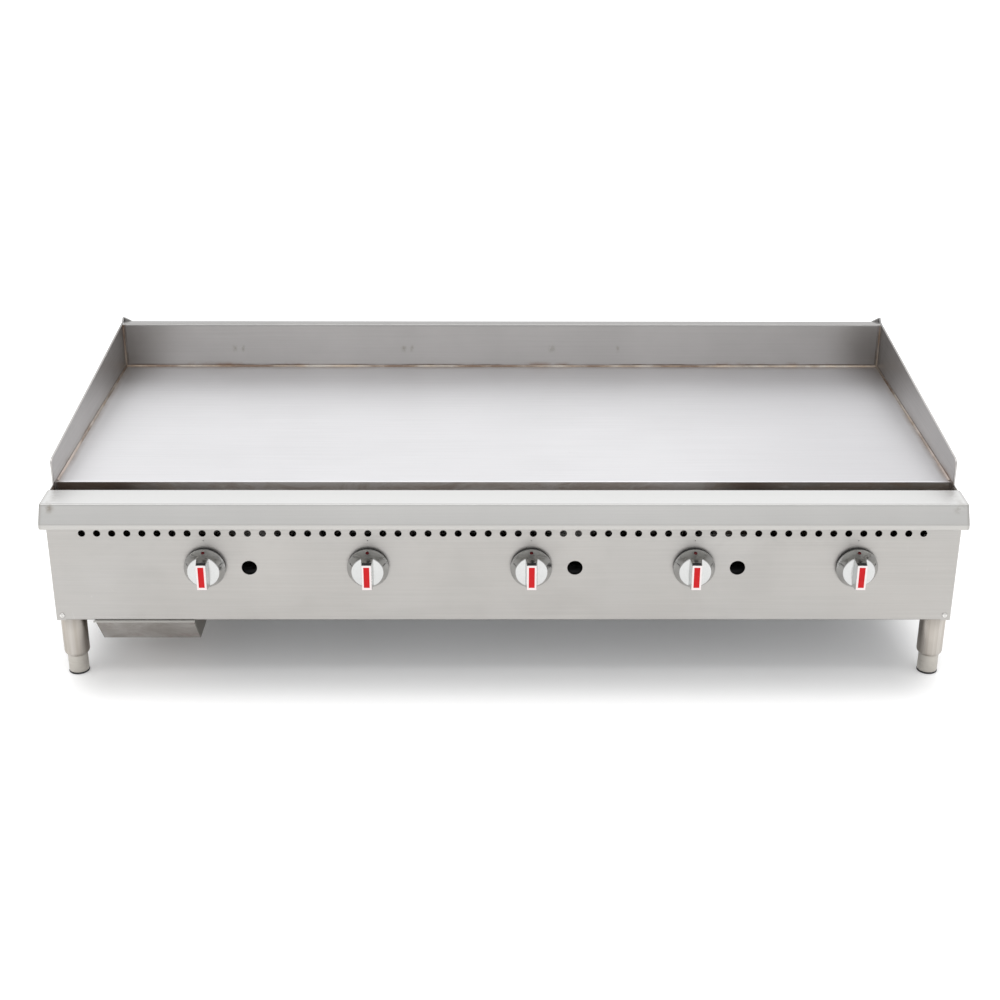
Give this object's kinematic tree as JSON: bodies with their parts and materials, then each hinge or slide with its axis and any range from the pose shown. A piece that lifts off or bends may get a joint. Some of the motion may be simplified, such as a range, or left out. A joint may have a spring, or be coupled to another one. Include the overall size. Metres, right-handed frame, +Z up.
{
  "type": "flat top griddle",
  "caption": "Countertop gas griddle: flat steel plate with tapered splash guards over a burner box, knobs with red pointers, grease trough and tray, on short adjustable legs.",
  "frame": {"origin": "on the floor, under the centre of the bounding box", "axes": "+X to the operator's right along the width, +Y to the back, +Z up"},
  "size_m": [1.524, 0.7342, 0.4276],
  "materials": {
    "stainless_panel": "satin, fine horizontal grain",
    "galvanised_sheet": "dull zinc coat",
    "aluminised_sheet": "dull",
    "polished_plate": "ground and polished top, raw front edge",
    "splash_steel": "satin, heat tinted at the welds",
    "weld_metal": "bright bead with brown heat tint",
    "trough_steel": "dark, stained",
    "frame_steel": "mill scale",
    "black_pipe": "black iron pipe",
    "valve_brass": "machined",
    "pilot_tube": "drawn tube",
    "leg_steel": "brushed along the tube",
    "foot_steel": "satin, turned",
    "pad_rubber": "matt",
    "screw_steel": "bright",
    "tray_steel": "satin, stained",
    "burner_steel": "aluminised tube",
    "stem_steel": "plated",
    "knob_chrome": "satin chrome",
    "mark_red": "inlaid red"
  },
  "bodies": {
    "casing": {"front_panel": "stainless_panel", "front_rail": "stainless_panel", "side_panel_left": "stainless_panel", "side_panel_right": "stainless_panel", "rear_panel": "galvanised_sheet", "bottom_panel": "galvanised_sheet", "griddle_plate": "polished_plate", "splash_left": "splash_steel", "splash_right": "splash_steel", "splash_back": "splash_steel", "weld_beads": "weld_metal", "grease_trough": "trough_steel", "grease_chute": "trough_steel", "plate_frame": "frame_steel", "heat_shield": "aluminised_sheet", "burner_supports": "frame_steel", "manifold_pipe": "black_pipe", "supply_elbow": "black_pipe", "supply_pipe": "black_pipe", "gas_valves": "valve_brass", "orifices": "valve_brass", "pilot_valves": "valve_brass", "pilot_tubes": "pilot_tube", "tray_rails": "galvanised_sheet", "leg_tubes": "leg_steel", "fasteners": "screw_steel", "burner_1": "burner_steel", "burner_2": "burner_steel", "burner_3": "burner_steel", "burner_4": "burner_steel", "burner_5": "burner_steel"},
    "tray": {"grease_tray": "tray_steel"},
    "control_1": {"valve_stem_1": "stem_steel", "knob_1": "knob_chrome", "knob_marks_1": "mark_red"},
    "control_2": {"valve_stem_2": "stem_steel", "knob_2": "knob_chrome", "knob_marks_2": "mark_red"},
    "control_3": {"valve_stem_3": "stem_steel", "knob_3": "knob_chrome", "knob_marks_3": "mark_red"},
    "control_4": {"valve_stem_4": "stem_steel", "knob_4": "knob_chrome", "knob_marks_4": "mark_red"},
    "control_5": {"valve_stem_5": "stem_steel", "knob_5": "knob_chrome", "knob_marks_5": "mark_red"},
    "shutter_1": {"air_shutter_1": "aluminised_sheet"},
    "shutter_2": {"air_shutter_2": "aluminised_sheet"},
    "shutter_3": {"air_shutter_3": "aluminised_sheet"},
    "shutter_4": {"air_shutter_4": "aluminised_sheet"},
    "shutter_5": {"air_shutter_5": "aluminised_sheet"},
    "leveller_1": {"foot_1": "foot_steel", "foot_pad_1": "pad_rubber"},
    "leveller_2": {"foot_2": "foot_steel", "foot_pad_2": "pad_rubber"},
    "leveller_3": {"foot_3": "foot_steel", "foot_pad_3": "pad_rubber"},
    "leveller_4": {"foot_4": "foot_steel", "foot_pad_4": "pad_rubber"}
  },
  "joints": [
    {"name": "tray_slide", "type": "slide", "parent": "casing", "child": "tray", "axis": [0, -1, 0], "range_m": [0, 0.45]},
    {"name": "control_1_turn", "type": "hinge", "parent": "casing", "child": "control_1", "pos_m": [-0.501, -0.322, 0.212], "axis": [0, -1, 0], "range_deg": [0, 90]},
    {"name": "control_2_turn", "type": "hinge", "parent": "casing", "child": "control_2", "pos_m": [-0.228, -0.322, 0.212], "axis": [0, -1, 0], "range_deg": [0, 90]},
    {"name": "control_3_turn", "type": "hinge", "parent": "casing", "child": "control_3", "pos_m": [0.045, -0.322, 0.212], "axis": [0, -1, 0], "range_deg": [0, 90]},
    {"name": "control_4_turn", "type": "hinge", "parent": "casing", "child": "control_4", "pos_m": [0.318, -0.322, 0.212], "axis": [0, -1, 0], "range_deg": [0, 90]},
    {"name": "control_5_turn", "type": "hinge", "parent": "casing", "child": "control_5", "pos_m": [0.591, -0.322, 0.212], "axis": [0, -1, 0], "range_deg": [0, 90]},
    {"name": "shutter_1_turn", "type": "hinge", "parent": "casing", "child": "shutter_1", "pos_m": [-0.501, -0.24, 0.212], "axis": [0, 1, 0], "range_deg": [0, 60]},
    {"name": "shutter_2_turn", "type": "hinge", "parent": "casing", "child": "shutter_2", "pos_m": [-0.228, -0.24, 0.212], "axis": [0, 1, 0], "range_deg": [0, 60]},
    {"name": "shutter_3_turn", "type": "hinge", "parent": "casing", "child": "shutter_3", "pos_m": [0.045, -0.24, 0.212], "axis": [0, 1, 0], "range_deg": [0, 60]},
    {"name": "shutter_4_turn", "type": "hinge", "parent": "casing", "child": "shutter_4", "pos_m": [0.318, -0.24, 0.212], "axis": [0, 1, 0], "range_deg": [0, 60]},
    {"name": "shutter_5_turn", "type": "hinge", "parent": "casing", "child": "shutter_5", "pos_m": [0.591, -0.24, 0.212], "axis": [0, 1, 0], "range_deg": [0, 60]},
    {"name": "leveller_1_height", "type": "slide", "parent": "casing", "child": "leveller_1", "axis": [0, 0, 1], "range_m": [-0.02, 0.01]},
    {"name": "leveller_2_height", "type": "slide", "parent": "casing", "child": "leveller_2", "axis": [0, 0, 1], "range_m": [-0.02, 0.01]},
    {"name": "leveller_3_height", "type": "slide", "parent": "casing", "child": "leveller_3", "axis": [0, 0, 1], "range_m": [-0.02, 0.01]},
    {"name": "leveller_4_height", "type": "slide", "parent": "casing", "child": "leveller_4", "axis": [0, 0, 1], "range_m": [-0.02, 0.01]}
  ]
}
